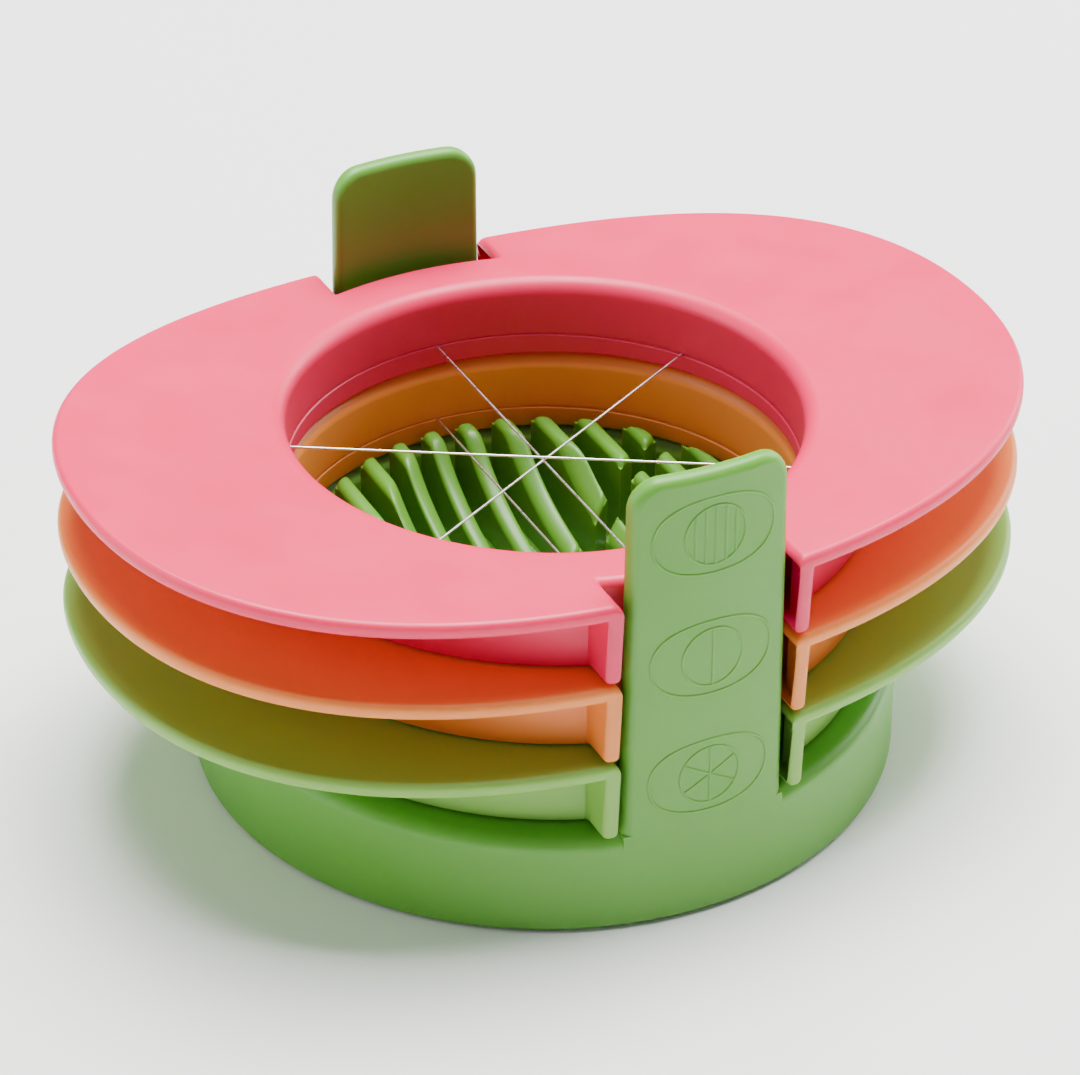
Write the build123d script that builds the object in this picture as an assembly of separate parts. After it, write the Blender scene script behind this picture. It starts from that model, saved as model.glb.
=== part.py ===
from build123d import *
import math
import os

# Egg slicer: a round green base with two upright posts and a ribbed egg cradle, and three
# winged wire cutters (slices, halves, wedges) that stack over the posts.
# Origin: centre of the underside. X runs wing to wing, -Y is the post with the pictograms, +Z up.
# Units: millimetres.

# ---- stack of cutters
SEAT_HEIGHT = 13.4        # top of the drum, where the lowest cutter sits
STACK_PITCH = 11.0        # height of one cutter in the stack
SEAT_GAP = 0.3            # free height under every collar
SEAT_RADIUS = 650.0       # every flange and seat follows a cylinder of this radius, axis along Y

# ---- cutter flange
WING_SPAN = 121.5         # over both wings
FLANGE_LIP = 3.5          # flange past the collar, on the notched sides
CORNER_FULLNESS = 0.64    # handle length of each quarter of the outline; 0.55 would be an ellipse
FLANGE_THICKNESS = 2.1
FLANGE_EDGE_ROUND = 0.85
RIM_ROUND = 2.0           # inner edge of the flange, round the opening

# ---- cutter collar, from the opening outwards
OPENING_RADIUS = 31.8
INNER_WALL = 2.4          # carries the wires
CRIMP_POCKET = 3.5        # ring-shaped pocket for the wire ends
SKIRT_WALL = 1.9          # outer wall, at the notches
SKIRT_STEP = 1.2          # outer wall stands this much prouder away from the notches
RING_DEPTH = 3.1          # wire ring, from the wires down
RING_GAP = 0.05           # wire ring inside the outer wall
RING_FLOOR_DROP = 1.1     # pocket floor below the wire plane

# ---- notches for the posts
POST_WIDTH = 21.2         # at the seat
POST_SIDE_GAP = 0.8       # each side, at the seat
POST_BACK_GAP = 1.8       # behind the post, at its top
WEB_THICKNESS = 1.9       # turned-down strip on each side of a notch
WEB_SETBACK = 1.6         # web edge inside the edge of the flange
WEB_CORNER = 1.5
WEB_EDGE_ROUND = 0.6

# ---- wires
WIRE_DIAMETER = 0.3
WIRE_END = 1.2            # wire past the middle of the crimp pocket
GROOVE_SIDE = 0.05        # groove wider than the wire, each side
CRIMP_DIAMETER = 1.4
CRIMP_LENGTH = 2.0

# ---- egg cradle
RIB_COUNT = 12
RIB_PITCH = 5.0
RIB_THICKNESS = 2.3
CRADLE_GAP = 2.4          # round the cradle, to the lowest wire ring
RIB_HEIGHT = 12.4
WIRE_RELIEF = 0.8         # gap floor below the lowest wires
WEDGE_SLOT_WIDTH = 2.6
EGG_LENGTH = 59.6         # egg form that hollows the ribs, lying along Y
EGG_DIAMETER = 37.8
EGG_BED_RISE = 1.0        # lowest point of the hollow over the wire plane
PEG_DIAMETER = 4.0
PEG_RADIUS = 18.0         # pegs on this circle, under the ribs
PEG_GAP = 0.1             # peg in its hole, radial
PEG_HEAD_DIAMETER = 6.0
PEG_HEAD_HEIGHT = 1.0

# ---- base drum and posts
POST_THICKNESS = 2.5
POST_RISE = 15.0          # post over the top cutter
POST_CORNER = 4.0
POST_EDGE_ROUND = 0.8
WALL_DRAFT = 0.85         # degrees, drum wall and post faces
SIDE_DRAFT = 0.7          # degrees, post sides
DRUM_WALL = 2.4
DECK_THICKNESS = 2.4
SHOULDER_ROUND = 2.0
FOOT_EDGE_ROUND = 0.6
FOOT_WIDTH = 5.0          # thickened foot that holds the non-slip ring
FOOT_HEIGHT = 3.2
RING_STAND = 0.4          # non-slip ring below the drum
RING_WIDTH = 2.2
RING_HEIGHT = 2.0

# ---- pictograms on the front post
ICON_LENGTH = 16.0
ICON_WIDTH = 10.4
ICON_OPENING = 4.1
ICON_LINE = 0.4
ICON_HEIGHT = 0.25
ICON_DROP = 8.2           # middle of the upper pictogram below the top of the post
ICON_SPACING = 1.5        # pictograms apart, in cutter heights

# ---- sizes that follow from those above
LEVELS = {name: SEAT_HEIGHT + STACK_PITCH * (i + 1) for i, name in enumerate(("slice", "half", "wedge"))}
COLLAR_DEPTH = STACK_PITCH - SEAT_GAP
WIRE_DEPTH = COLLAR_DEPTH - RING_DEPTH
POST_TOP = LEVELS["wedge"] + POST_RISE
INNER_WALL_RADIUS = OPENING_RADIUS + INNER_WALL
SKIRT_INSIDE = INNER_WALL_RADIUS + CRIMP_POCKET
NOTCH_FLOOR = SKIRT_INSIDE + SKIRT_WALL
SKIRT_RADIUS = NOTCH_FLOOR + SKIRT_STEP
FLANGE_WIDTH = 2 * (SKIRT_RADIUS + FLANGE_LIP)
NOTCH_HALF = POST_WIDTH / 2 + POST_SIDE_GAP
POST_TOP_RADIUS = NOTCH_FLOOR + POST_BACK_GAP + POST_THICKNESS
WEB_FRONT = FLANGE_WIDTH / 2 - WEB_SETBACK
CRIMP_RADIUS = (INNER_WALL_RADIUS + SKIRT_INSIDE) / 2
LOW = -STACK_PITCH * 2
HIGH = STACK_PITCH * 2
GAP_CENTRES = [(i - (RIB_COUNT - 2) / 2) * RIB_PITCH for i in range(RIB_COUNT - 1)]
LOWEST_WIRE = LEVELS["slice"] - WIRE_DEPTH - WIRE_DIAMETER
GAP_FLOOR = LOWEST_WIRE - WIRE_RELIEF
CRADLE_RADIUS = OPENING_RADIUS - CRADLE_GAP
CRADLE_TOP = GAP_FLOOR + RIB_HEIGHT
EGG_BED_HEIGHT = LEVELS["slice"] - WIRE_DEPTH + EGG_BED_RISE


def outer_radius(height):
    """Radius of the drum wall and of the outer post faces at a height."""
    return POST_TOP_RADIUS + (POST_TOP - height) * math.tan(math.radians(WALL_DRAFT))


def wing_outline(length, width):
    """Closed outline with four equal curved quarters."""
    a, b, k = length / 2, width / 2, CORNER_FULLNESS
    quarters = [
        Bezier((a, 0), (a, k * b), (k * a, b), (0, b)),
        Bezier((0, b), (-k * a, b), (-a, k * b), (-a, 0)),
        Bezier((-a, 0), (-a, -k * b), (-k * a, -b), (0, -b)),
        Bezier((0, -b), (k * a, -b), (a, -k * b), (a, 0)),
    ]
    return make_face(Wire(quarters))


def bent_slab(top, depth):
    """Wide slab between two concentric cylinders, top and bottom rising towards the wings."""
    centre = Pos(0, 0, top + SEAT_RADIUS) * Rot(90, 0, 0)
    reach = 4 * FLANGE_WIDTH
    outer = centre * Cylinder(SEAT_RADIUS + depth, reach)
    inner = centre * Cylinder(SEAT_RADIUS, reach)
    near = Pos(0, 0, top) * Box(2 * WING_SPAN, FLANGE_WIDTH * 2, 4 * STACK_PITCH)
    return (outer - inner) & near


def tube(outside, inside, bottom, top):
    """Ring between two radii and two heights."""
    height = top - bottom
    ring = Cylinder(outside, height) - Cylinder(inside, height)
    return Pos(0, 0, (bottom + top) / 2) * ring


def disc(radius, bottom, top):
    return Pos(0, 0, (bottom + top) / 2) * Cylinder(radius, top - bottom)


# ---------------------------------------------------------------- wires
def wire_runs(name):
    """Each wire of a cutter as (offset from the centre, direction in degrees, layer)."""
    if name == "slice":
        return [(x, 90, 0) for x in GAP_CENTRES]
    if name == "half":
        return [(0, 90, 0)]
    return [(0, 90, 0), (0, 30, 1), (0, -30, 2)]


def wire_height(layer):
    """Height of a wire's axis over the wire plane: layer 0 lies in the ring, others in the frame."""
    return (layer - 0.5) * WIRE_DIAMETER


def run_place(offset, angle, layer):
    """Frame whose X axis lies along a wire, at the middle of the wire."""
    return Rot(0, 0, angle) * Pos(0, -offset, wire_height(layer) - WIRE_DEPTH)


def crimp_reach(offset):
    """Distance from a wire's middle to the middle of its crimp."""
    return math.sqrt(CRIMP_RADIUS ** 2 - offset ** 2)


def wire(offset, angle, layer):
    length = 2 * (crimp_reach(offset) + WIRE_END)
    return run_place(offset, angle, layer) * Rot(0, 90, 0) * Cylinder(WIRE_DIAMETER / 2, length)


def crimps(offset, angle, layer):
    """The two sleeves squeezed on a wire's ends."""
    sleeve = Cylinder(CRIMP_DIAMETER / 2, CRIMP_LENGTH) - Cylinder(WIRE_DIAMETER / 2, CRIMP_LENGTH)
    place = run_place(offset, angle, layer)
    reach = crimp_reach(offset)
    return [place * Pos(side * reach, 0, 0) * Rot(0, 90, 0) * sleeve for side in (-1, 1)]


def groove(offset, angle, layer):
    """Channel for a wire through the ring (layer 0) or up into the frame (other layers)."""
    depth = max(layer, 1) * WIRE_DIAMETER
    middle = -WIRE_DEPTH + (depth / 2 if layer else -depth / 2)
    channel = Box(2 * SKIRT_INSIDE, WIRE_DIAMETER + 2 * GROOVE_SIDE, depth)
    return Rot(0, 0, angle) * Pos(0, -offset, middle) * channel


# ---------------------------------------------------------------- cutters
def cutter_webs():
    """Turned-down strips on both sides of both notches."""
    back = (SKIRT_INSIDE + NOTCH_FLOOR) / 2
    start = math.sqrt(back ** 2 - (NOTCH_HALF + WEB_THICKNESS) ** 2)
    length = WEB_FRONT - start
    strip = Pos(0, length / 2, 0) * Box(WEB_THICKNESS, length, COLLAR_DEPTH + FLANGE_THICKNESS)
    corner = strip.edges().filter_by(Axis.X).group_by(Axis.Y)[-1].sort_by(Axis.Z)[0]
    strip = fillet(corner, WEB_CORNER)
    front = [e for e in strip.edges() if e.center().Y > length - WEB_CORNER and abs(e.center().X) > 0.1]
    strip = fillet(front, WEB_EDGE_ROUND)
    middle = NOTCH_HALF + WEB_THICKNESS / 2
    lift = SEAT_RADIUS - math.sqrt(SEAT_RADIUS ** 2 - NOTCH_HALF ** 2)
    strip = Pos(middle, start, lift - (COLLAR_DEPTH + FLANGE_THICKNESS) / 2 + FLANGE_THICKNESS) * strip
    pair = [strip, mirror(strip, Plane.YZ)]
    return pair + [mirror(s, Plane.XZ) for s in pair]


def cutter_frame(name):
    """Winged flange, inner wall, outer skirt and notch webs as one moulding."""
    plate = extrude(Pos(0, 0, LOW) * wing_outline(WING_SPAN, FLANGE_WIDTH), HIGH - LOW)
    plate = plate & bent_slab(0, FLANGE_THICKNESS)
    rim_edges = [e for e in plate.edges() if e.length > WING_SPAN / 4]
    plate = fillet(rim_edges, FLANGE_EDGE_ROUND)
    skirt = tube(SKIRT_RADIUS, SKIRT_INSIDE, LOW, HIGH) & bent_slab(0, COLLAR_DEPTH)
    inner = tube(INNER_WALL_RADIUS, OPENING_RADIUS, -WIRE_DEPTH, HIGH) & bent_slab(0, COLLAR_DEPTH)
    webs = [web & bent_slab(0, COLLAR_DEPTH) for web in cutter_webs()]
    frame = plate + skirt + inner + webs
    notch = Box(2 * NOTCH_HALF, 2 * FLANGE_WIDTH, 4 * STACK_PITCH) - disc(NOTCH_FLOOR, LOW, HIGH)
    frame = frame - notch - disc(OPENING_RADIUS, LOW, HIGH)
    rim = [e for e in frame.edges() if e.center().Z > -0.1 and _around_opening(e)]
    frame = fillet(rim, RIM_ROUND)
    for offset, angle, layer in wire_runs(name):
        if layer:
            frame = frame - (groove(offset, angle, layer) - disc(OPENING_RADIUS / 2, LOW, HIGH))
    return frame


def _around_opening(edge):
    """True for an edge that runs along the opening's wall."""
    ends = [edge.position_at(t) for t in (0.1, 0.5, 0.9)]
    return all(abs(math.hypot(p.X, p.Y) - OPENING_RADIUS) < 0.01 for p in ends)


def wire_ring(name):
    """Ring welded in from below: clamps the wires and closes the crimp pocket."""
    section = tube(INNER_WALL_RADIUS, OPENING_RADIUS, LOW, -WIRE_DEPTH)
    ledge = tube(SKIRT_INSIDE - RING_GAP, INNER_WALL_RADIUS, LOW, -WIRE_DEPTH - RING_FLOOR_DROP)
    ring = (section + ledge) & bent_slab(0, COLLAR_DEPTH)
    for offset, angle, layer in wire_runs(name):
        if layer == 0:
            ring = ring - groove(offset, angle, layer)
    return ring


# ---------------------------------------------------------------- egg cradle
def peg_places():
    return [Rot(0, 0, 45 + 90 * i) * Pos(PEG_RADIUS, 0, 0) for i in range(4)]


def egg_form():
    """Long round egg form, lying along Y, that hollows the ribs."""
    arc = EllipticalCenterArc((0, 0), EGG_LENGTH / 2, EGG_DIAMETER / 2, 0, arc_size=180)
    half = make_face(Wire([arc, Line(arc @ 1, arc @ 0)]))
    egg = revolve(half, Axis.X, 360)
    return Pos(0, 0, EGG_BED_HEIGHT + EGG_DIAMETER / 2) * Rot(0, 0, 90) * egg


def egg_cradle():
    floor = disc(CRADLE_RADIUS, SEAT_HEIGHT - 1, GAP_FLOOR)
    height = CRADLE_TOP - GAP_FLOOR
    envelope = disc(CRADLE_RADIUS, GAP_FLOOR, CRADLE_TOP)
    ribs = []
    for i in range(RIB_COUNT):
        x = (i - (RIB_COUNT - 1) / 2) * RIB_PITCH
        plate = Pos(x, 0, GAP_FLOOR + height / 2) * Box(RIB_THICKNESS, 3 * CRADLE_RADIUS, height)
        ribs.append(plate & envelope)
    slots = []
    for offset, angle, layer in wire_runs("wedge"):
        if layer:
            slot = Box(3 * CRADLE_RADIUS, WEDGE_SLOT_WIDTH, height)
            slots.append(Rot(0, 0, angle) * Pos(0, 0, GAP_FLOOR + height / 2) * slot)
    egg = egg_form()
    ribs = [rib - egg - slots for rib in ribs]
    cradle = floor + ribs
    cradle = cradle - bent_slab(SEAT_HEIGHT, STACK_PITCH)
    deck_under = SEAT_HEIGHT - DECK_THICKNESS
    for place in peg_places():
        cradle = cradle + place * disc(PEG_DIAMETER / 2, deck_under - PEG_HEAD_HEIGHT, SEAT_HEIGHT + 1)
    return cradle


def peg_clips():
    """Push-on clips that hold the cradle's pegs under the deck."""
    under = SEAT_HEIGHT - DECK_THICKNESS
    clip = tube(PEG_HEAD_DIAMETER / 2, PEG_DIAMETER / 2, under - PEG_HEAD_HEIGHT, under)
    return [place * clip for place in peg_places()]


# ---------------------------------------------------------------- base
def wall_band(bottom, top, inset, proud=0.0):
    """Cone-shaped band that follows the drum wall, between two heights."""
    profile = Polyline(
        (outer_radius(bottom) - inset, bottom),
        (outer_radius(bottom) + proud, bottom),
        (outer_radius(top) + proud, top),
        (outer_radius(top) - inset, top),
        close=True,
    )
    return revolve(Plane.XZ * make_face(profile), Axis.Z, 360)


def posts():
    """Both upright posts: a rounded, tapered outline cut from the wall band."""
    bottom = SEAT_HEIGHT - SHOULDER_ROUND - 1
    rise = POST_TOP - bottom
    spread = math.tan(math.radians(SIDE_DRAFT))
    foot = POST_WIDTH / 2 + (SEAT_HEIGHT - bottom) * spread
    head = POST_WIDTH / 2 - (POST_TOP - SEAT_HEIGHT) * spread
    outline = Polyline((-foot, bottom), (foot, bottom), (head, POST_TOP), (-head, POST_TOP), close=True)
    face = make_face(outline)
    face = fillet(face.vertices().group_by(Axis.Y)[-1], POST_CORNER)
    slab = extrude(Plane.XZ * face, rise * 2, both=True)
    pair = wall_band(bottom, POST_TOP, POST_THICKNESS) & slab
    front = pair.solids().sort_by(Axis.Y)[0]
    edges = [e for e in front.edges() if e.center().Z > bottom + 0.1]
    front = fillet(edges, POST_EDGE_ROUND)
    return [front, mirror(front, Plane.XZ)]


def pictogram(name, height):
    """Raised line picture of one cutter seen from above, on the outer face of the front post."""
    outer = wing_outline(ICON_LENGTH, ICON_WIDTH)
    inner = wing_outline(ICON_LENGTH - 2 * ICON_LINE, ICON_WIDTH - 2 * ICON_LINE)
    circle = Circle(ICON_OPENING)
    lines = (outer - inner) + (circle - Circle(ICON_OPENING - ICON_LINE))
    if name == "slice":
        runs = [(x * 1.3, 90) for x in (-2, -1, 0, 1, 2)]
    else:
        runs = [(0, angle) for _, angle, _ in wire_runs(name)]
    for offset, angle in runs:
        bar = Rot(0, 0, angle) * Pos(0, -offset) * Rectangle(2 * ICON_OPENING, ICON_LINE)
        lines = lines + (bar & circle)
    raised = extrude(Plane.XZ * Pos(0, height) * lines, POST_TOP_RADIUS + 4)
    band = wall_band(height - ICON_WIDTH, height + ICON_WIDTH, 0.5, ICON_HEIGHT)
    return raised & band


def base_shell():
    """Drum, deck and posts as one moulding, open underneath."""
    bottom = RING_STAND
    high = SEAT_HEIGHT + STACK_PITCH / 2
    drum = wall_band(bottom, high, outer_radius(high))
    drum = drum - bent_slab(SEAT_HEIGHT + STACK_PITCH, STACK_PITCH)
    shoulder = [e for e in drum.edges() if e.center().Z > SEAT_HEIGHT - 1 and e.length > OPENING_RADIUS]
    drum = fillet(shoulder, SHOULDER_ROUND)
    foot = [e for e in drum.edges() if e.center().Z < bottom + 0.01 and e.length > OPENING_RADIUS]
    drum = fillet(foot, FOOT_EDGE_ROUND)
    under = SEAT_HEIGHT - DECK_THICKNESS
    inside = outer_radius(0) - DRUM_WALL
    drum = drum - disc(inside, bottom + FOOT_HEIGHT, under)
    drum = drum - disc(outer_radius(0) - FOOT_WIDTH, bottom - 1, under)
    drum = drum - non_slip_ring()
    for place in peg_places():
        drum = drum - place * disc(PEG_DIAMETER / 2 + PEG_GAP, 0, SEAT_HEIGHT + 2)
    shell = drum + posts()
    for i, name in enumerate(LEVELS):
        shell = shell + pictogram(name, POST_TOP - ICON_DROP - ICON_SPACING * STACK_PITCH * i)
    return shell


def non_slip_ring():
    middle = outer_radius(0) - FOOT_WIDTH / 2
    return tube(middle + RING_WIDTH / 2, middle - RING_WIDTH / 2, 0, RING_HEIGHT)


# ---------------------------------------------------------------- the assembly
def save(name, *solids):
    """Write one node: its solids stay separate."""
    bodies = [solid for shape in solids for solid in shape.solids()]
    node = bodies[0] if len(bodies) == 1 else Compound(children=bodies)
    export_step(node, f"parts/{name}.step")


def main():
    os.makedirs("parts", exist_ok=True)
    save("base_shell", base_shell())
    save("egg_cradle", egg_cradle())
    save("cradle_peg_clips", *peg_clips())
    save("non_slip_ring", non_slip_ring())
    for name, level in LEVELS.items():
        place = Pos(0, 0, level)
        runs = wire_runs(name)
        save(f"{name}_frame", place * cutter_frame(name))
        save(f"{name}_wire_ring", place * wire_ring(name))
        for i, run in enumerate(runs):
            number = f"_{i + 1:02d}" if len(runs) > 1 else ""
            save(f"{name}_wire{number}", place * wire(*run))
        save(f"{name}_wire_crimps", *[place * sleeve for run in runs for sleeve in crimps(*run)])


main()
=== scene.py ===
"""Egg slicer: a green base with a ribbed cradle and three winged wire cutters stacked on it.

Every piece is modelled in metres in the row frame: +X from wing to wing, -Y towards the post
with the pictograms, +Z up, the table at zero.
"""

import logging
import math
from dataclasses import dataclass, field
from enum import Enum
from typing import Callable, Iterable, Sequence

import bmesh
import bpy
from mathutils import Matrix, Vector


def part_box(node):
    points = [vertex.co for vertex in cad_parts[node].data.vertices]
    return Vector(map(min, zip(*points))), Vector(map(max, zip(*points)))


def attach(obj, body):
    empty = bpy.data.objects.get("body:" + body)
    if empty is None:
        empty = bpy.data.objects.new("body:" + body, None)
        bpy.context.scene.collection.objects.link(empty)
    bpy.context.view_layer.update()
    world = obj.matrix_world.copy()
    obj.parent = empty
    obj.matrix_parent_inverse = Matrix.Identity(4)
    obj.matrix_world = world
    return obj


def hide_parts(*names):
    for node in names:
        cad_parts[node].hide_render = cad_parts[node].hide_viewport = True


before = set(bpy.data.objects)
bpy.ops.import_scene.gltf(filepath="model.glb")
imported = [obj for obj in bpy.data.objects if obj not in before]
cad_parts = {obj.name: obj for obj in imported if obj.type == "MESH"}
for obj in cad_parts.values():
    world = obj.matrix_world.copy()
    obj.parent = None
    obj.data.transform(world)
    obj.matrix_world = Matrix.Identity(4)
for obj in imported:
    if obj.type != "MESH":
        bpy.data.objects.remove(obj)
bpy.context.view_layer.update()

MM = 0.001
log = logging.getLogger("egg_slicer")


# ------------------------------------------------------------------ small helpers
def linear(hex_colour: str) -> tuple[float, float, float, float]:
    """Turn an sRGB hex colour into the linear values that shaders take.

    Args:
        hex_colour: six hex digits, with or without a leading #.

    Returns:
        Red, green, blue and an alpha of one.
    """
    digits = hex_colour.lstrip("#")
    shares = [int(digits[i:i + 2], 16) / 255 for i in (0, 2, 4)]
    values = [s / 12.92 if s <= 0.04045 else ((s + 0.055) / 1.055) ** 2.4 for s in shares]
    return (values[0], values[1], values[2], 1.0)


def add_node(tree: bpy.types.NodeTree, kind: str, settings: dict | None = None,
             links: dict | None = None) -> bpy.types.Node:
    """Add one node with its settings and its incoming links.

    Args:
        tree: the node tree.
        kind: the node's type name.
        settings: attribute or input values; an input is named by its label.
        links: input label to the output socket that feeds it.

    Returns:
        The new node.
    """
    node = tree.nodes.new(kind)
    for name, value in (settings or {}).items():
        if hasattr(node, name):
            setattr(node, name, value)
        else:
            node.inputs[name].default_value = value
    for name, socket in (links or {}).items():
        tree.links.new(socket, node.inputs[name])
    return node


def new_object(name: str, bm: bmesh.types.BMesh, smooth_angle: float = 40.0) -> bpy.types.Object:
    """Close a bmesh into an object at the origin, smooth shaded with sharp edges kept.

    Args:
        name: the piece's name.
        bm: the finished mesh, freed here.
        smooth_angle: edges that turn by more than this many degrees stay sharp.

    Returns:
        The linked object.
    """
    limit = math.radians(smooth_angle)
    for face in bm.faces:
        face.smooth = True
    for edge in bm.edges:
        edge.smooth = len(edge.link_faces) == 2 and edge.calc_face_angle(0.0) < limit
    mesh = bpy.data.meshes.new(name)
    bm.to_mesh(mesh)
    bm.free()
    piece = bpy.data.objects.new(name, mesh)
    bpy.context.scene.collection.objects.link(piece)
    shading = piece.modifiers.new("even_shading", "WEIGHTED_NORMAL")
    shading.keep_sharp = True
    return piece


def arc_points(centre: tuple[float, float], radius: float, start: float, end: float,
               steps: int) -> list[tuple[float, float]]:
    """Points along an arc in a profile plane.

    Args:
        centre: the arc's centre.
        radius: its radius.
        start: first angle, in degrees.
        end: last angle, in degrees.
        steps: number of equal steps.

    Returns:
        steps + 1 points, both ends included.
    """
    turns = [math.radians(start + (end - start) * i / steps) for i in range(steps + 1)]
    return [(centre[0] + radius * math.cos(t), centre[1] + radius * math.sin(t)) for t in turns]


def spun(profile: Sequence[tuple[float, float]], steps: int, angle: float,
         closed: bool = True) -> bmesh.types.BMesh:
    """Spin a profile of (radius, height) points round the upright axis.

    Args:
        profile: points in metres, in order.
        steps: steps of the spin.
        angle: angle of the spin, in radians; a full turn is merged.
        closed: join the last point to the first.

    Returns:
        A bmesh with the spun surface.
    """
    bm = bmesh.new()
    verts = [bm.verts.new((r, 0.0, z)) for r, z in profile]
    pairs = list(zip(verts, verts[1:])) + ([(verts[-1], verts[0])] if closed else [])
    edges = [bm.edges.new(pair) for pair in pairs]
    full = abs(angle - math.tau) < 1e-6
    bmesh.ops.spin(bm, geom=verts + edges, cent=(0, 0, 0), axis=(0, 0, 1), angle=angle,
                   steps=steps, use_merge=full, use_duplicate=False)
    if full:
        bmesh.ops.remove_doubles(bm, verts=bm.verts, dist=1e-7)
    return bm


def bevel(bm: bmesh.types.BMesh, edges: Iterable[bmesh.types.BMEdge], width: float,
          segments: int = 3) -> None:
    """Round edges.

    Args:
        bm: the mesh.
        edges: the edges to round.
        width: offset of the bevel, in metres.
        segments: rows of faces across it.
    """
    bmesh.ops.bevel(bm, geom=list(edges), offset=width, offset_type="OFFSET", segments=segments,
                    profile=0.5, affect="EDGES", material=-1, clamp_overlap=True)


def mirror_xy(bm: bmesh.types.BMesh) -> None:
    """Turn a quarter of a piece into the whole, across both upright middle planes."""
    for axis in ("X", "Y"):
        bmesh.ops.mirror(bm, geom=list(bm.verts) + list(bm.edges) + list(bm.faces),
                         matrix=Matrix.Identity(4), merge_dist=1e-6, axis=axis)
    bmesh.ops.remove_doubles(bm, verts=bm.verts, dist=2e-6)


def point(vert: bmesh.types.BMVert) -> tuple[float, float, float]:
    """A vertex's radius, turn about the axis and height."""
    return math.hypot(vert.co.x, vert.co.y), math.atan2(vert.co.y, vert.co.x), vert.co.z


# ------------------------------------------------------------------ sizes shared by the pieces
@dataclass(frozen=True)
class Stack:
    """Sizes, in metres, that the base and the cutters share."""

    flange_half_length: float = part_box("wedge_frame")[1].x
    opening: float = 31.8 * MM
    inner_wall: float = 34.2 * MM
    skirt_inside: float = 37.7 * MM
    notch_floor: float = 39.6 * MM
    skirt: float = 40.8 * MM
    flange_half_width: float = 44.3 * MM
    seat_bend: float = 650.0 * MM
    flange_thickness: float = 2.1 * MM
    collar_depth: float = 10.7 * MM
    wire_depth: float = 7.6 * MM
    fullness: float = 0.64

    def bend(self, x: float) -> float:
        """Rise of the flanges and seats at a distance from the middle, towards the wings."""
        return self.seat_bend - math.sqrt(self.seat_bend ** 2 - x ** 2)

    def outline(self, share: float, length: float | None = None,
                width: float | None = None) -> Vector:
        """A point of the flange's outline, over one quarter.

        Args:
            share: 0 at the wing tip, 1 in the middle of the notched side.
            length: half length, the flange's own if not given.
            width: half width, the flange's own if not given.

        Returns:
            The point, in plan.
        """
        a = length or self.flange_half_length
        b = width or self.flange_half_width
        k = self.fullness
        s, t = 1 - share, share
        x = a * (s ** 3 + 3 * s * s * t + 3 * s * t * t * k)
        y = b * (3 * s * s * t * k + 3 * s * t * t + t ** 3)
        return Vector((x, y))

    def outline_at(self, x: float) -> float:
        """Share of the quarter outline at which it reaches a distance from the middle."""
        low, high = 0.0, 1.0
        for _ in range(40):
            middle = (low + high) / 2
            low, high = (middle, high) if self.outline(middle).x > x else (low, middle)
        return (low + high) / 2


STACK = Stack()


class Cutter(Enum):
    """The three cutters, with the number and lie of their wires."""

    SLICE = "slice"
    HALF = "half"
    WEDGE = "wedge"

    @property
    def runs(self) -> list[tuple[float, float, int]]:
        """Each wire as its offset in metres, its direction in degrees and its layer."""
        if self is Cutter.SLICE:
            return [((i - 5) * 5.0 * MM, 90.0, 0) for i in range(11)]
        if self is Cutter.HALF:
            return [(0.0, 90.0, 0)]
        return [(0.0, 90.0, 0), (0.0, 30.0, 1), (0.0, -30.0, 2)]


# ------------------------------------------------------------------ finishes
@dataclass(frozen=True)
class Moulding:
    """Injection-moulded polypropylene.

    The resin is slightly milky, so light enters it and comes back deeper in colour, and the mould
    was finished with a fine even grit, which makes the gloss broad and soft.
    """

    name: str
    colour: str
    deep: str
    roughness: float = 0.42
    milkiness: float = 0.35
    grit: float = 0.35 * MM

    def material(self) -> bpy.types.Material:
        """Build the node material."""
        made = bpy.data.materials.new(self.name)
        made.use_nodes = True
        tree = made.node_tree
        shader = tree.nodes["Principled BSDF"]
        place = add_node(tree, "ShaderNodeTexCoord").outputs["Object"]
        cloud = add_node(tree, "ShaderNodeTexNoise",
                         {"Scale": 1 / (28 * MM), "Detail": 2.0, "Roughness": 0.5},
                         {"Vector": place})
        mix = add_node(tree, "ShaderNodeMix", {"data_type": "RGBA"},
                       {"Factor": cloud.outputs["Fac"]})
        mix.inputs[6].default_value = linear(self.colour)
        mix.inputs[7].default_value = linear(self.deep)
        tree.links.new(mix.outputs[2], shader.inputs["Base Color"])
        # grit of the mould, drawn about three times as coarse as it is so that it shows
        grain = add_node(tree, "ShaderNodeTexNoise",
                         {"Scale": 1 / self.grit, "Detail": 3.0, "Roughness": 0.55},
                         {"Vector": place})
        flow = add_node(tree, "ShaderNodeTexNoise",
                        {"Scale": 1 / (9 * MM), "Detail": 1.0}, {"Vector": place})
        rough = add_node(tree, "ShaderNodeMapRange",
                         {"From Min": 0.3, "From Max": 0.7, "To Min": self.roughness - 0.05,
                          "To Max": self.roughness + 0.05}, {"Value": flow.outputs["Fac"]})
        tree.links.new(rough.outputs["Result"], shader.inputs["Roughness"])
        bump = add_node(tree, "ShaderNodeBump", {"Strength": 0.12, "Distance": 0.02 * MM},
                        {"Height": grain.outputs["Fac"]})
        tree.links.new(bump.outputs["Normal"], shader.inputs["Normal"])
        shader.inputs["IOR"].default_value = 1.49
        shader.inputs["Subsurface Weight"].default_value = self.milkiness
        shader.inputs["Subsurface Radius"].default_value = (1.0, 0.5, 0.3)
        shader.inputs["Subsurface Scale"].default_value = 2.2 * MM
        return made


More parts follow.
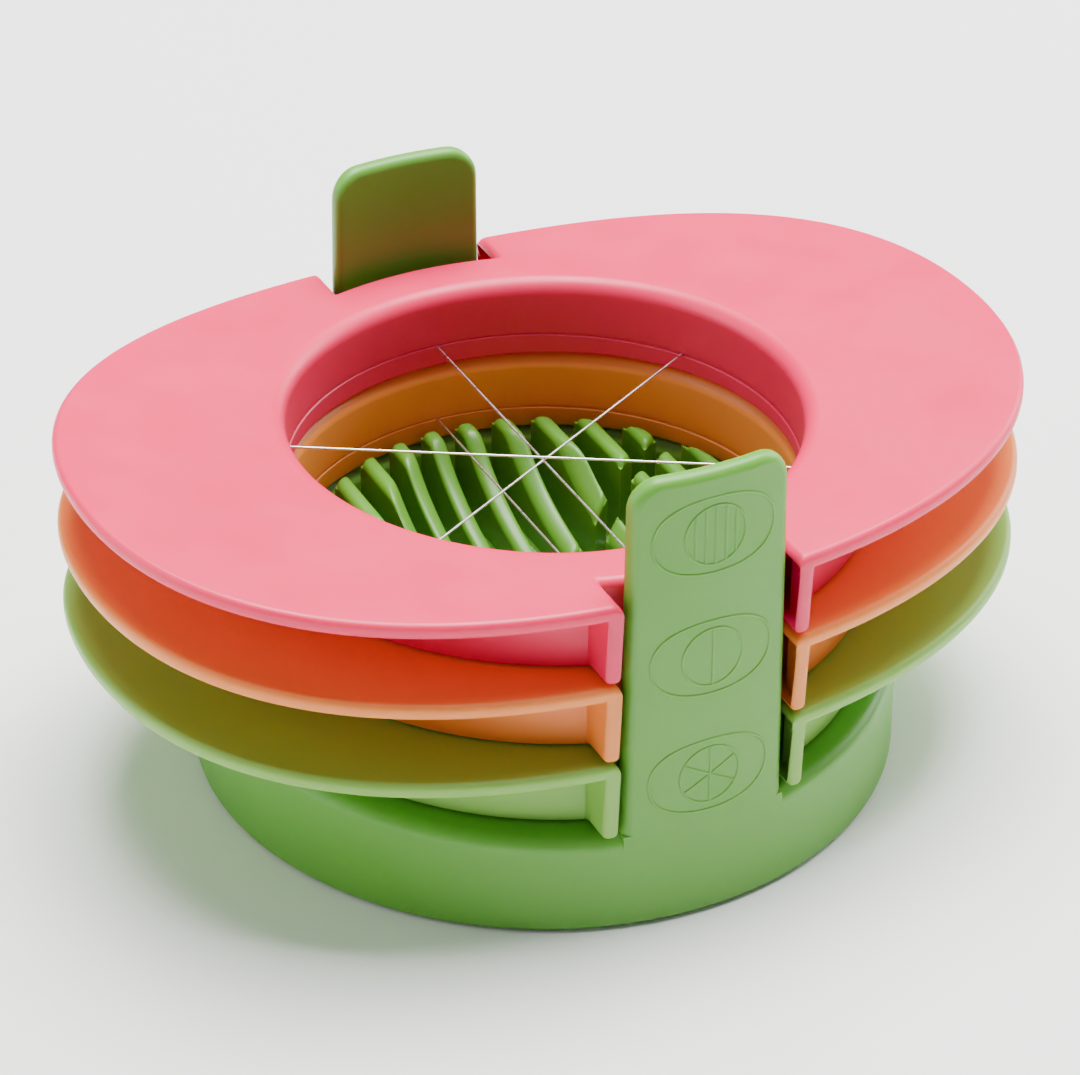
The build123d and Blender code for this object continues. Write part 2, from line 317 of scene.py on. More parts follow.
@dataclass(frozen=True)
class DrawnWire:
    """Bright stainless wire: faint lines along it from the drawing die."""

    name: str = "stainless_wire"
    colour: str = "#e6e6e9"
    roughness: float = 0.32

    def material(self) -> bpy.types.Material:
        """Build the node material."""
        made = bpy.data.materials.new(self.name)
        made.use_nodes = True
        tree = made.node_tree
        shader = tree.nodes["Principled BSDF"]
        place = add_node(tree, "ShaderNodeTexCoord").outputs["Object"]
        lines = add_node(tree, "ShaderNodeTexNoise",
                         {"Scale": 1 / (0.6 * MM), "Detail": 2.0}, {"Vector": place})
        rough = add_node(tree, "ShaderNodeMapRange",
                         {"From Min": 0.3, "From Max": 0.7, "To Min": self.roughness - 0.07,
                          "To Max": self.roughness + 0.07}, {"Value": lines.outputs["Fac"]})
        tree.links.new(rough.outputs["Result"], shader.inputs["Roughness"])
        shader.inputs["Base Color"].default_value = linear(self.colour)
        shader.inputs["Metallic"].default_value = 1.0
        return made


@dataclass(frozen=True)
class SoftRubber:
    """Thermoplastic rubber, moulded and matt, with a dusty bloom."""

    name: str = "non_slip_rubber"
    colour: str = "#6f8f55"
    deep: str = "#5d7b47"

    def material(self) -> bpy.types.Material:
        """Build the node material."""
        made = bpy.data.materials.new(self.name)
        made.use_nodes = True
        tree = made.node_tree
        shader = tree.nodes["Principled BSDF"]
        place = add_node(tree, "ShaderNodeTexCoord").outputs["Object"]
        bloom = add_node(tree, "ShaderNodeTexNoise",
                         {"Scale": 1 / (3 * MM), "Detail": 4.0}, {"Vector": place})
        mix = add_node(tree, "ShaderNodeMix", {"data_type": "RGBA"},
                       {"Factor": bloom.outputs["Fac"]})
        mix.inputs[6].default_value = linear(self.colour)
        mix.inputs[7].default_value = linear(self.deep)
        tree.links.new(mix.outputs[2], shader.inputs["Base Color"])
        bump = add_node(tree, "ShaderNodeBump", {"Strength": 0.3, "Distance": 0.05 * MM},
                        {"Height": bloom.outputs["Fac"]})
        tree.links.new(bump.outputs["Normal"], shader.inputs["Normal"])
        shader.inputs["Roughness"].default_value = 0.75
        shader.inputs["IOR"].default_value = 1.5
        return made


BASE_GREEN = Moulding("satin_green_polypropylene", "#5d9f31", "#5a9c2e")
# The cradle is moulded in the base's green. This darker copy of it carries painted shade for the recess the
# cradle sits in, down inside the drum and under the cutters.
CRADLE_GREEN_PAINTED_SHADE = Moulding("cradle_green_polypropylene_painted_shade", "#528b23", "#4f8821")
CUTTER_PLASTIC = {
    Cutter.SLICE: Moulding("lime_polypropylene", "#80b34a", "#7db047"),
    Cutter.HALF: Moulding("orange_polypropylene", "#ec8a38", "#e88635"),
    Cutter.WEDGE: Moulding("pink_polypropylene", "#e81256", "#e41053"),
}


# ------------------------------------------------------------------ cutters
@dataclass
class WingedFrame:
    """One cutter's moulding: winged flange, inner wall, outer skirt, two notches with webs."""

    cutter: Cutter
    finish: bpy.types.Material
    notch_half: float = 11.4 * MM
    web: float = 1.9 * MM
    notch_round: float = 1.1 * MM
    web_round: float = 0.7 * MM
    round_steps: int = 5
    rim_round: float = 2.0 * MM
    edge_round: float = 0.85 * MM
    seam: float = 0.16 * MM
    wing_columns: int = 64
    notch_columns: int = 12
    level: float = field(init=False)

    def __post_init__(self) -> None:
        """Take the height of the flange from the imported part."""
        low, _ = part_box(f"{self.cutter.value}_frame")
        self.level = low.z + STACK.collar_depth

    def profile(self) -> list[tuple[float, float]]:
        """Closed section of flange, skirt and inner wall, as if the flange were round."""
        s = STACK
        reach, edge, thick = s.flange_half_length, self.edge_round, s.flange_thickness
        rim = arc_points((s.opening + self.rim_round, -self.rim_round), self.rim_round, 180, 90, 6)
        top = [(36.6 * MM, 0.0)] + [(s.notch_floor - d, 0.0) for d in self.round_offsets()]
        span = reach - edge - s.notch_floor
        top += [(s.notch_floor + span * i / 6, 0.0) for i in range(1, 6)]
        upper = arc_points((reach - edge, -edge), edge, 90, 0, 4)
        lower = arc_points((reach - edge, edge - thick), edge, 0, -90, 4)
        under = [(reach - 1.3 * MM, -thick)]
        under += [(s.skirt + (reach - 1.3 * MM - s.skirt) * i / 5, -thick) for i in range(4, -1, -1)]
        skirt = [(s.skirt, -s.collar_depth), (s.notch_floor, -s.collar_depth),
                 (s.skirt_inside, -s.collar_depth), (s.skirt_inside, -thick)]
        wall = [(s.inner_wall, -thick), (s.inner_wall, -s.wire_depth),
                (s.opening + self.seam, -s.wire_depth), (s.opening, -s.wire_depth + self.seam)]
        return rim + top + upper + lower + under + skirt + wall

    def round_offsets(self) -> list[float]:
        """Distances from the notch at which its rounded edge has a row of points."""
        turns = [math.radians(90 * i / self.round_steps) for i in range(self.round_steps + 1)]
        return [self.notch_round * (1 - math.sin(t)) for t in turns]

    def column(self, index: int) -> tuple[Vector, Vector]:
        """Ends of one column in plan: on the notch floor's circle and on the flange's outline.

        Args:
            index: 0 at the wing tip, wing_columns at the outside of the web, then across the
                notch's rounded edge to its wall, and on to the middle of the notch.

        Returns:
            The inner and the outer point.
        """
        s = STACK
        outside = self.notch_half + self.web
        if index <= self.wing_columns:
            end = s.outline_at(outside)
            outer = s.outline(end * index / self.wing_columns)
            last = s.outline(end)
            turn = math.acos(outside / s.notch_floor) * math.atan2(outer.y, outer.x)
            turn /= math.atan2(last.y, last.x)
            return s.notch_floor * Vector((math.cos(turn), math.sin(turn))), outer
        wall = self.wall_column()
        step = index - self.wing_columns
        if step <= self.round_steps:
            turn = math.radians(90 * (1 - step / self.round_steps))
            x = outside - self.web_round * (1 - math.sin(turn))
        elif index <= wall:
            x = self.notch_half + self.round_offsets()[step - self.round_steps - 1]
        else:
            x = self.notch_half * (1 - (index - wall) / self.notch_columns)
        inner = Vector((x, math.sqrt(s.notch_floor ** 2 - x ** 2)))
        return inner, s.outline(s.outline_at(x)) if x > 0 else s.outline(1.0)

    def wall_column(self) -> int:
        """The column that lies on the notch's side wall."""
        return self.wing_columns + 1 + 2 * self.round_steps

    def notch_drop(self, plan: Vector) -> float:
        """How far the rounded edge of the notch lies below the flange at a point in plan."""
        side = max(plan.x - self.notch_half, 0.0)
        back = max(STACK.notch_floor - plan.length, 0.0)
        short = self.notch_round - math.hypot(side, back)
        if short <= 0:
            return 0.0
        return self.notch_round - math.sqrt(max(self.notch_round ** 2 - short ** 2, 0.0))

    def shape(self, vert: bmesh.types.BMVert, columns: int) -> None:
        """Move a vertex of the round piece to its place in the winged one."""
        s = STACK
        radius, turn, z = point(vert)
        index = round(turn / (math.pi / 2) * columns)
        inner, outer = self.column(index)
        along = (outer - inner).normalized()
        from_edge = s.flange_half_length - radius
        if radius <= s.notch_floor + 1e-7:
            plan = inner * (radius / s.notch_floor)
        elif abs(radius - s.skirt) < 1e-6:
            dot = inner.dot(along)
            plan = inner + along * (math.sqrt(dot * dot + s.skirt ** 2 - inner.length_squared) - dot)
        elif from_edge <= self.edge_round + 1e-6:
            plan = outer - along * from_edge
        else:
            start = s.notch_floor if z > -1e-6 else s.skirt
            stop = s.flange_half_length - (self.edge_round if z > -1e-6 else 1.3 * MM)
            share = (radius - start) / (stop - start)
            first = inner if z > -1e-6 else self._skirt_point(inner, along)
            last = outer - along * (self.edge_round if z > -1e-6 else 1.3 * MM)
            plan = first.lerp(last, share)
        flat_edge = s.flange_thickness - self.edge_round
        if z > -flat_edge and radius > 36.6 * MM:
            drop = self.notch_drop(plan)
            z = z * (1 - drop / flat_edge) - drop
        on_wire_plane = abs(z + s.wire_depth) < 1e-6
        lift = 0.0 if on_wire_plane else s.bend(plan.x)
        vert.co = (plan.x, plan.y, z + lift)

    def _skirt_point(self, inner: Vector, along: Vector) -> Vector:
        """Where a column crosses the outside of the skirt."""
        dot = inner.dot(along)
        reach = math.sqrt(dot * dot + STACK.skirt ** 2 - inner.length_squared) - dot
        return inner + along * reach

    def build(self) -> bpy.types.Object:
        """Model the moulding.

        Returns:
            The piece, riding on its cutter.
        """
        s = STACK
        wall = self.wall_column()
        columns = wall + self.notch_columns
        bm = spun(self.profile(), columns, math.pi / 2)
        tag = bm.verts.layers.int.new("column")
        ring = bm.verts.layers.float.new("radius")
        for vert in bm.verts:
            radius, turn, _ = point(vert)
            vert[tag] = round(turn / (math.pi / 2) * columns)
            vert[ring] = radius
            self.shape(vert, columns)

        def beyond(face: bmesh.types.BMFace) -> bool:
            outer = max(v[ring] for v in face.verts) > s.notch_floor + 1e-7
            return outer and min(v[tag] for v in face.verts) >= wall

        def behind_web(face: bmesh.types.BMFace) -> bool:
            on_skirt = all(abs(v[ring] - s.skirt) < 1e-7 for v in face.verts)
            return on_skirt and all(self.wing_columns <= v[tag] <= wall for v in face.verts)

        doomed = [f for f in bm.faces if beyond(f) or behind_web(f)]
        bmesh.ops.delete(bm, geom=doomed, context="FACES")
        self._add_web(bm, tag, ring, wall)
        self._close_notch_floor(bm, tag, ring, wall)
        mirror_xy(bm)
        edges = [e for e in bm.edges if e.is_boundary]
        bmesh.ops.holes_fill(bm, edges=edges, sides=0)
        bmesh.ops.recalc_face_normals(bm, faces=bm.faces)
        bmesh.ops.translate(bm, verts=bm.verts, vec=(0, 0, self.level))
        piece = new_object(f"{self.cutter.value}_frame_moulding", bm, 50.0)
        piece.data.materials.append(self.finish)
        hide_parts(f"{self.cutter.value}_frame")
        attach(piece, f"{self.cutter.value}_cutter")
        return piece

    def _add_web(self, bm: bmesh.types.BMesh, tag, ring, wall: int) -> None:
        """Turn the flange down into a web beside the notch."""
        s = STACK
        flat_edge = s.flange_thickness - self.edge_round

        def under_web(face: bmesh.types.BMFace) -> bool:
            low = all(v.co.z - s.bend(v.co.x) < -flat_edge + 1e-6 for v in face.verts)
            outside = all(v[ring] > s.skirt - 1e-7 for v in face.verts)
            on_skirt = all(abs(v[ring] - s.skirt) < 1e-7 for v in face.verts)
            at_web = all(self.wing_columns <= v[tag] <= wall for v in face.verts)
            return low and outside and at_web and not on_skirt

        faces = [f for f in bm.faces if under_web(f)]
        for drop in (self.web_round, s.collar_depth - s.flange_thickness - self.web_round):
            made = bmesh.ops.extrude_face_region(bm, geom=faces)["geom"]
            bmesh.ops.delete(bm, geom=[f for f in faces if f.is_valid], context="FACES_ONLY")
            verts = [g for g in made if isinstance(g, bmesh.types.BMVert)]
            faces = [g for g in made if isinstance(g, bmesh.types.BMFace)]
            bmesh.ops.translate(bm, verts=verts, vec=(0, 0, -drop))
        foot = self.edge_round - s.collar_depth
        for vert in bm.verts:
            self._round_web(vert, foot)
        low = s.bend(self.notch_half) - s.flange_thickness - 1e-5

        def inner_side(face: bmesh.types.BMFace) -> bool:
            upright = abs(face.normal.z) < 0.1 and face.calc_center_median().z < low
            on_skirt = all(abs(v.co.xy.length - s.skirt) < 1e-6 for v in face.verts)
            on_notch = all(abs(v.co.x - self.notch_half) < 1e-6 for v in face.verts)
            near = all(v.co.x < self.notch_half + self.web + 1e-6 and v.co.y > 0 for v in face.verts)
            return upright and near and (on_skirt or on_notch)

        bm.normal_update()
        bmesh.ops.delete(bm, geom=[f for f in bm.faces if inner_side(f)], context="FACES")
        bmesh.ops.remove_doubles(bm, verts=bm.verts, dist=1e-6)

    def _round_web(self, vert: bmesh.types.BMVert, foot: float) -> None:
        """Round the upright front edges and the lower edges of the web.

        Args:
            vert: a vertex, moved if it belongs to the web below the flange.
            foot: height at which the web's rounded foot begins.
        """
        s = STACK
        x, y, z = vert.co
        z -= s.bend(x)
        inside = self.notch_half - 1e-7 < x < self.notch_half + self.web + 1e-7
        if not inside or y < 0 or z > -s.flange_thickness - self.web_round / 2:
            return
        from_skirt = y - math.sqrt(s.skirt ** 2 - x ** 2)
        if from_skirt < 1e-6:
            return
        short = self.web_round - min(x - self.notch_half, self.notch_half + self.web - x)
        if short <= 0:
            return
        inset = self.web_round - math.sqrt(max(self.web_round ** 2 - short ** 2, 0.0))
        from_front = s.outline(s.outline_at(x)).y - y
        vert.co.y -= inset * max(1 - from_front / (3 * self.edge_round), 0.0)
        lift = min(max((foot - z) / self.edge_round, 0.0), 1.0)
        vert.co.z += inset * lift * min(from_skirt / self.web_round, 1.0)

    def _close_notch_floor(self, bm: bmesh.types.BMesh, tag, ring, wall: int) -> None:
        """Wall the notch off from the top of the flange down to the foot of the skirt."""
        s = STACK

        def on_floor(edge: bmesh.types.BMEdge) -> bool:
            flat = all(abs(v.co.xy.length - s.notch_floor) < 1e-6 for v in edge.verts)
            return edge.is_boundary and flat and max(v.co.x for v in edge.verts) < self.notch_half + 1e-6

        edges = [e for e in bm.edges if on_floor(e)]
        bmesh.ops.bridge_loops(bm, edges=edges)


@dataclass
class WireRing:
    """Ring welded into the collar from below: clamps the wires and closes the crimp pocket."""

    cutter: Cutter
    finish: bpy.types.Material
    floor_drop: float = 1.1 * MM
    gap: float = 0.05 * MM
    seam: float = 0.16 * MM
    foot_round: float = 0.4 * MM
    steps: int = 288

    def build(self, level: float) -> bpy.types.Object:
        """Model the ring.

        Args:
            level: height of the flange above it.

        Returns:
            The piece, riding on its cutter.
        """
        s = STACK
        low, plane, foot = -s.collar_depth, -s.wire_depth, self.foot_round
        outside, floor = s.skirt_inside - self.gap, plane - self.floor_drop
        profile = [(s.opening, plane - self.seam), (s.opening + self.seam, plane),
                   (s.inner_wall, plane), (s.inner_wall, floor), (outside, floor), (outside, low)]
        profile += arc_points((s.opening + foot, low + foot), foot, 270, 180, 3)
        bm = spun(profile, self.steps, math.tau)
        for vert in bm.verts:
            if vert.co.z < plane - 2 * self.seam - 0.1 * MM and vert.co.z < floor - 0.1 * MM:
                vert.co.z += s.bend(vert.co.x)
        bmesh.ops.recalc_face_normals(bm, faces=bm.faces)
        bmesh.ops.translate(bm, verts=bm.verts, vec=(0, 0, level))
        name = self.cutter.value
        piece = new_object(f"{name}_clamp_ring", bm)
        piece.data.materials.append(self.finish)
        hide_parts(f"{name}_wire_ring")
        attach(piece, f"{name}_cutter")
        return piece


@dataclass
class CuttingWires:
    """The tensioned stainless wires of one cutter."""

    cutter: Cutter
    finish: bpy.types.Material
    thickness: float = 0.3 * MM
    crimp_circle: float = 35.95 * MM
    tail: float = 1.2 * MM
    sides: int = 16

    def build(self, level: float) -> list[bpy.types.Object]:
        """Model each wire with rounded ends.

        Args:
            level: height of the flange above the wires.

        Returns:
            The pieces, riding on their cutter.
        """
        name = self.cutter.value
        runs = self.cutter.runs
        made = []
        for i, (offset, angle, layer) in enumerate(runs):
            number = f"_{i + 1:02d}" if len(runs) > 1 else ""
            reach = math.sqrt(self.crimp_circle ** 2 - offset ** 2) + self.tail
            radius = self.thickness / 2
            bm = bmesh.new()
            bmesh.ops.create_cone(bm, cap_ends=True, segments=self.sides, radius1=radius,
                                  radius2=radius, depth=2 * reach)
            rims = [e for e in bm.edges if abs(e.verts[0].co.z - e.verts[1].co.z) < 1e-7]
            bevel(bm, rims, radius * 0.4, 2)
            lay = Matrix.Rotation(math.pi / 2, 4, "Y")
            height = level - STACK.wire_depth + (layer - 0.5) * self.thickness
            place = Matrix.Rotation(math.radians(angle), 4, "Z")
            place = place @ Matrix.Translation((0, -offset, height)) @ lay
            bmesh.ops.transform(bm, matrix=place, verts=bm.verts)
            piece = new_object(f"{name}_cutting_wire{number}", bm)
            piece.data.materials.append(self.finish)
            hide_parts(f"{name}_wire{number}")
            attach(piece, f"{name}_cutter")
            made.append(piece)
        return made


# ------------------------------------------------------------------ cradle
@dataclass
class EggCradle:
    """Twelve ribs on a round floor, hollowed by an egg form and slotted for the slanted wires."""

    finish: bpy.types.Material
    rib_pitch: float = 5.0 * MM
    rib_thickness: float = 2.3 * MM
    ribs: int = 12
    egg_half_length: float = 29.8 * MM
    egg_radius: float = 18.9 * MM
    bed: float = 17.8 * MM
    slot: float = 2.6 * MM
    edge_round: float = 0.95 * MM
    bend_soft: float = 1.2 * MM
    cells_across: int = 10
    cells_along: int = 80
    radius: float = field(init=False)
    top: float = field(init=False)
    floor: float = field(init=False)

    def __post_init__(self) -> None:
        """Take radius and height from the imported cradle."""
        _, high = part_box("egg_cradle")
        self.radius = high.x
        self.top = high.z
        self.floor = self.top - 12.4 * MM

    def height(self, x: float, y: float) -> float:
        """Height of a rib at a point in plan: the flat top or the egg form, softly joined."""
        inside = 1 - (x / self.egg_radius) ** 2 - (y / self.egg_half_length) ** 2
        if inside <= 0:
            return self.top
        egg = self.bed + self.egg_radius * (1 - math.sqrt(inside))
        gap = max(0.0, 1 - abs(self.top - egg) / self.bend_soft)
        return min(self.top, egg) - gap * gap * self.bend_soft / 4

    def rib(self, x: float) -> bmesh.types.BMesh:
        """Model one rib, cut where the slanted wires pass.

        Args:
            x: the middle of the rib.

        Returns:
            The rib as its own closed mesh.
        """
        bm = bmesh.new()
        bmesh.ops.create_grid(bm, x_segments=self.cells_across, y_segments=self.cells_along, size=1.0)
        for vert in bm.verts:
            across = x + math.sin(vert.co.x * math.pi / 2) * self.rib_thickness / 2
            end = math.sqrt(self.radius ** 2 - across ** 2)
            vert.co = (across, math.sin(vert.co.y * math.pi / 2) * end, 0.0)
        for normal in self.slot_normals():
            for row in (0.0, 0.12, 0.35, 0.65, 1.0):
                for side in (-1, 1):
                    place = normal * side * (self.slot / 2 + row * self.edge_round)
                    bmesh.ops.bisect_plane(bm, geom=list(bm.verts) + list(bm.edges) + list(bm.faces),
                                           dist=1e-7, plane_co=place, plane_no=normal)
            cut = [f for f in bm.faces if abs(f.calc_center_median().dot(normal)) < self.slot / 2]
            bmesh.ops.delete(bm, geom=cut, context="FACES")
        for vert in bm.verts:
            vert.co.z = self.height(vert.co.x, vert.co.y) - self.edge_drop(vert.co, x)
        made = bmesh.ops.extrude_face_region(bm, geom=list(bm.faces), use_keep_orig=True)["geom"]
        for vert in (g for g in made if isinstance(g, bmesh.types.BMVert)):
            vert.co.z = self.floor - 0.2 * MM
        bmesh.ops.remove_doubles(bm, verts=bm.verts, dist=1e-7)
        bmesh.ops.recalc_face_normals(bm, faces=bm.faces)
        return bm

    def slot_normals(self) -> list[Vector]:
        """Directions across the two slots for the slanted wires."""
        turns = [math.radians(t) for t in (30, -30)]
        return [Vector((-math.sin(t), math.cos(t), 0)) for t in turns]

    def edge_drop(self, place: Vector, x: float) -> float:
        """How far a rib's rounded edge lies below its top.

        Args:
            place: a point of the rib, in plan.
            x: the middle of the rib.

        Returns:
            The drop, none further from an edge than the round.
        """
        gaps = [self.rib_thickness / 2 - abs(place.x - x), self.radius - place.xy.length]
        flat = Vector((place.x, place.y, 0))
        gaps += [abs(flat.dot(normal)) - self.slot / 2 for normal in self.slot_normals()]
        short = math.hypot(*(max(self.edge_round - max(gap, 0.0), 0.0) for gap in gaps))
        short = min(short, self.edge_round)
        return self.edge_round - math.sqrt(self.edge_round ** 2 - short ** 2)

    def build(self) -> bpy.types.Object:
        """Model the cradle.

        Returns:
            The piece, riding on the base.
        """
        seat = 13.4 * MM
        profile = [(0.0, seat), (self.radius, seat)]
        profile += arc_points((self.radius - 0.3 * MM, self.floor - 0.3 * MM), 0.3 * MM, 0, 90, 2)
        profile += [(0.0, self.floor)]
        bm = spun(profile, 144, math.tau, closed=False)
        for vert in bm.verts:
            if vert.co.z < seat + 0.1 * MM:
                vert.co.z += STACK.bend(vert.co.x)
        holder = bpy.data.meshes.new("rib")
        for i in range(self.ribs):
            one = self.rib((i - (self.ribs - 1) / 2) * self.rib_pitch)
            one.to_mesh(holder)
            one.free()
            bm.from_mesh(holder)
        bpy.data.meshes.remove(holder)
        bmesh.ops.recalc_face_normals(bm, faces=bm.faces)
        piece = new_object("ribbed_egg_cradle", bm)
        piece.data.materials.append(self.finish)
        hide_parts("egg_cradle")
        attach(piece, "base")
        return piece


# ------------------------------------------------------------------ base
@dataclass
class Base:
    """Drum, deck and two posts as one moulding, with line pictograms on the front post."""

    finish: bpy.types.Material
    rubber: bpy.types.Material
    seat: float = 13.4 * MM
    post_half: float = 10.6 * MM
    post_thickness: float = 2.5 * MM
    post_corner: float = 4.0 * MM
    post_edge: float = 1.1 * MM
    top_radius: float = 43.9 * MM
    wall_draft: float = math.tan(math.radians(0.85))
    side_draft: float = math.tan(math.radians(0.7))
    shoulder: float = 2.0 * MM
    stand: float = 0.4 * MM
    foot_width: float = 5.0 * MM
    foot_height: float = 3.2 * MM
    foot_round: float = 0.6 * MM
    wall: float = 2.4 * MM
    icon_sink: float = 0.08 * MM
    stub: float = 0.02 * MM
    wing_columns: int = 72
    corner_steps: int = 10
    flat_columns: int = 6
    post_top: float = field(init=False)

    def __post_init__(self) -> None:
        """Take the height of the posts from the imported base."""
        self.post_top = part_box("base_shell")[1].z

    def outside(self, height: float) -> float:
        """Radius of the drum wall and the posts' outer faces at a height."""
        return self.top_radius + (self.post_top - height) * self.wall_draft

    def half_width(self, height: float) -> float:
        """Half width of a post at a height."""
        return self.post_half - (height - self.seat) * self.side_draft

    def profile(self) -> list[tuple[float, float]]:
        """Closed section of drum wall, shoulder, deck and foot."""
        low, ring = self.stand, 42.31 * MM
        shoulder_low = self.seat - self.shoulder
        r = self.outside(shoulder_low)
        foot = self.foot_round
        points = arc_points((self.outside(low) - foot, low + foot), foot, 270, 360, 3)
        points += [(r, shoulder_low)]
        points += arc_points((r - self.shoulder, shoulder_low), self.shoulder, 0, 90, 6)[1:]
        points += [(self.inner_post(self.seat), self.seat), (30.0 * MM, self.seat), (0.0, self.seat)]
        under = self.seat - 2.4 * MM
        inside = self.outside(0.0) - self.wall
        heel = self.outside(0.0) - self.foot_width
        points += [(0.0, under), (inside, under), (inside, low + self.foot_height),
                   (heel, low + self.foot_height), (heel, low)]
        half = 1.15 * MM
        points += [(ring - half, low), (ring - half, 2.0 * MM), (ring + half, 2.0 * MM), (ring + half, low)]
        return points

    def inner_post(self, height: float) -> float:
        """Radius of the posts' inner faces at a height."""
        return self.outside(height) - self.post_thickness

    def post_columns(self) -> list[float]:
        """Distances from the middle of a post, from its side to its middle, as shares."""
        return [1 - i / self.flat_columns for i in range(self.flat_columns + 1)]

    def build_shell(self) -> bpy.types.Object:
        """Model drum and posts.

        Returns:
            The piece, riding on the base.
        """
        shares = self.post_columns()
        columns = self.wing_columns + len(shares) - 1
        bm = spun(self.profile(), columns, math.pi / 2)
        tag = bm.verts.layers.int.new("column")
        inner = self.inner_post(self.seat)
        for vert in bm.verts:
            radius, turn, z = point(vert)
            index = round(turn / (math.pi / 2) * columns) if radius > 1e-7 else 0
            vert[tag] = index
            reach = max(radius, inner)
            side = math.acos(self.post_half / reach)
            if index <= self.wing_columns:
                angle = side * index / self.wing_columns
            else:
                angle = math.acos(self.post_half * shares[index - self.wing_columns] / reach)
            x, y = radius * math.cos(angle), radius * math.sin(angle)
            on_deck = z > self.seat - self.shoulder - 0.1 * MM
            vert.co = (x, y, z + (STACK.bend(x) if on_deck else 0.0))
        low = self.seat - self.shoulder

        def under_post(face: bmesh.types.BMFace) -> bool:
            past = min(v[tag] for v in face.verts) >= self.wing_columns
            high = all(v.co.z - STACK.bend(v.co.x) > low - 1e-6 for v in face.verts)
            return past and high and all(v.co.xy.length > inner - 1e-6 for v in face.verts)

        bmesh.ops.delete(bm, geom=[f for f in bm.faces if under_post(f)], context="FACES")
        mirror_xy(bm)
        bmesh.ops.remove_doubles(bm, verts=bm.verts, dist=1e-6)
        self._raise_stubs(bm, inner)
        holder = bpy.data.meshes.new("post")
        for side in (-1, 1):
            post = self._post(side)
            post.to_mesh(holder)
            post.free()
            bm.from_mesh(holder)
        bpy.data.meshes.remove(holder)
        bmesh.ops.recalc_face_normals(bm, faces=bm.faces)
        piece = new_object("base_moulding", bm, 50.0)
        piece.data.materials.append(self.finish)
        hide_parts("base_shell")
        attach(piece, "base")
        return piece

    def _raise_stubs(self, bm: bmesh.types.BMesh, inner: float) -> None:
        """Close the openings left in the deck with low stubs that the posts stand on."""
        rims = [e for e in bm.edges if e.is_boundary]
        made = bmesh.ops.extrude_edge_only(bm, edges=rims)["geom"]
        height = self.seat + self.stub
        for vert in (g for g in made if isinstance(g, bmesh.types.BMVert)):
            x, y, _ = vert.co
            is_inner = abs(math.hypot(x, y) - inner) < 2e-6
            reach = self.inner_post(height) if is_inner else self.outside(height)
            vert.co = (x, math.copysign(math.sqrt(reach ** 2 - x ** 2), y), height)
        bmesh.ops.remove_doubles(bm, verts=bm.verts, dist=1e-6)
        bmesh.ops.holes_fill(bm, edges=[e for e in bm.edges if e.is_boundary], sides=0)

    def _post(self, side: int) -> bmesh.types.BMesh:
        """Model one post: a rounded outline given its thickness, then bent to the drum's wall.

        Args:
            side: -1 for the front post, 1 for the back one.

        Returns:
            The post as its own closed mesh.
        """
        half, corner, low = self.post_half, self.post_corner, self.seat + self.stub
        crown = self.post_top - corner
        outline = [(-half, low), (half, low)]
        outline += arc_points((half - corner, crown), corner, 0, 90, self.corner_steps)
        outline += arc_points((corner - half, crown), corner, 90, 180, self.corner_steps)
        bm = bmesh.new()
        face = bm.faces.new([bm.verts.new((x, 0.0, z)) for x, z in outline])
        made = bmesh.ops.extrude_face_region(bm, geom=[face], use_keep_orig=True)["geom"]
        verts = [g for g in made if isinstance(g, bmesh.types.BMVert)]
        bmesh.ops.translate(bm, verts=verts, vec=(0, self.post_thickness, 0))
        bmesh.ops.recalc_face_normals(bm, faces=bm.faces)

        def rim(edge: bmesh.types.BMEdge) -> bool:
            flat = abs(edge.verts[0].co.y - edge.verts[1].co.y) < 1e-7
            return flat and max(v.co.z for v in edge.verts) > low + 1e-6

        bevel(bm, [e for e in bm.edges if rim(e)], self.post_edge, 5)
        step = (half - self.post_edge) / self.flat_columns
        for i in range(1 - self.flat_columns, self.flat_columns):
            bmesh.ops.bisect_plane(bm, geom=list(bm.verts) + list(bm.edges) + list(bm.faces),
                                   dist=1e-7, plane_co=(i * step, 0, 0), plane_no=(1, 0, 0))
        for vert in bm.verts:
            x, depth, z = vert.co
            x *= self.half_width(z) / half
            reach = self.outside(z) - depth
            vert.co = (x, side * math.sqrt(reach ** 2 - x ** 2), z)
        bmesh.ops.recalc_face_normals(bm, faces=bm.faces)
        return bm

    def build_ring(self) -> bpy.types.Object:
        """Model the non-slip ring in the drum's foot.

        Returns:
            The piece, riding on the base.
        """
        middle, half, high, soft = 42.31 * MM, 1.1 * MM, 2.0 * MM, 0.25 * MM
        profile = arc_points((middle - half + soft, soft), soft, 180, 270, 3)
        profile += arc_points((middle + half - soft, soft), soft, 270, 360, 3)
        profile += [(middle + half, high), (middle - half, high)]
        bm = spun(profile, 192, math.tau)
        bmesh.ops.recalc_face_normals(bm, faces=bm.faces)
        piece = new_object("rubber_foot_ring", bm)
        piece.data.materials.append(self.rubber)
        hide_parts("non_slip_ring")
        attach(piece, "base")
        return piece

    def build_pictograms(self) -> list[bpy.types.Object]:
        """Model the raised line pictures of the three cutters on the front post.

        Returns:
            One piece for each cutter, riding on the base.
        """
        made = []
        for i, cutter in enumerate(Cutter):
            middle = self.post_top - (8.2 + 16.5 * i) * MM
            made.append(self._pictogram(cutter, middle))
        return made

